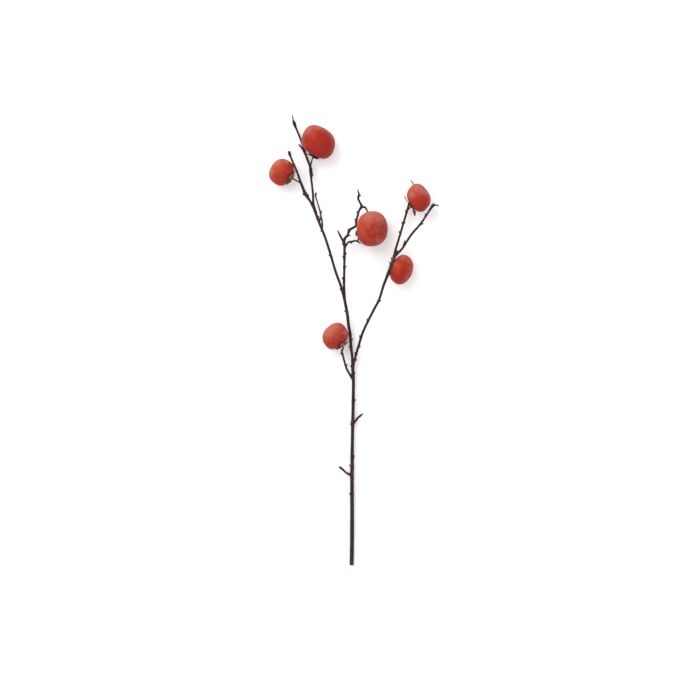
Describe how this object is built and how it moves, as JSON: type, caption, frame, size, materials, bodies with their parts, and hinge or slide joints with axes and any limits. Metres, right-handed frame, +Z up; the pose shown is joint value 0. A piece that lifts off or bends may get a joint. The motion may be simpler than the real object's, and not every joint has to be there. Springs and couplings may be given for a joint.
{
  "type": "persimmon branch",
  "caption": "Cut fruiting branch lying down: a bare woody stem forks into limbs and twigs that carry rounded fruits on short stalks, each with a dry four-lobed calyx.",
  "frame": {"origin": "middle of the bottom of the part's box, on the surface that the branch lies on", "axes": "+Y along the stem from its cut end to the twig tips, +Z up from the surface, +X to the right seen from above with the twig tips away from you"},
  "size_m": [0.323, 0.8596, 0.0652],
  "materials": {
    "bark": "matt",
    "fruit_skin": "satin",
    "dry_sepal": "matt"
  },
  "bodies": {
    "root": {"branch": "bark", "fruit_top": "fruit_skin", "fruit_left": "fruit_skin", "fruit_middle": "fruit_skin", "fruit_right_top": "fruit_skin", "fruit_right_low": "fruit_skin", "fruit_fork": "fruit_skin", "calyx_top": "dry_sepal", "calyx_left": "dry_sepal", "calyx_middle": "dry_sepal", "calyx_right_top": "dry_sepal", "calyx_right_low": "dry_sepal", "calyx_fork": "dry_sepal"}
  },
  "joints": []
}
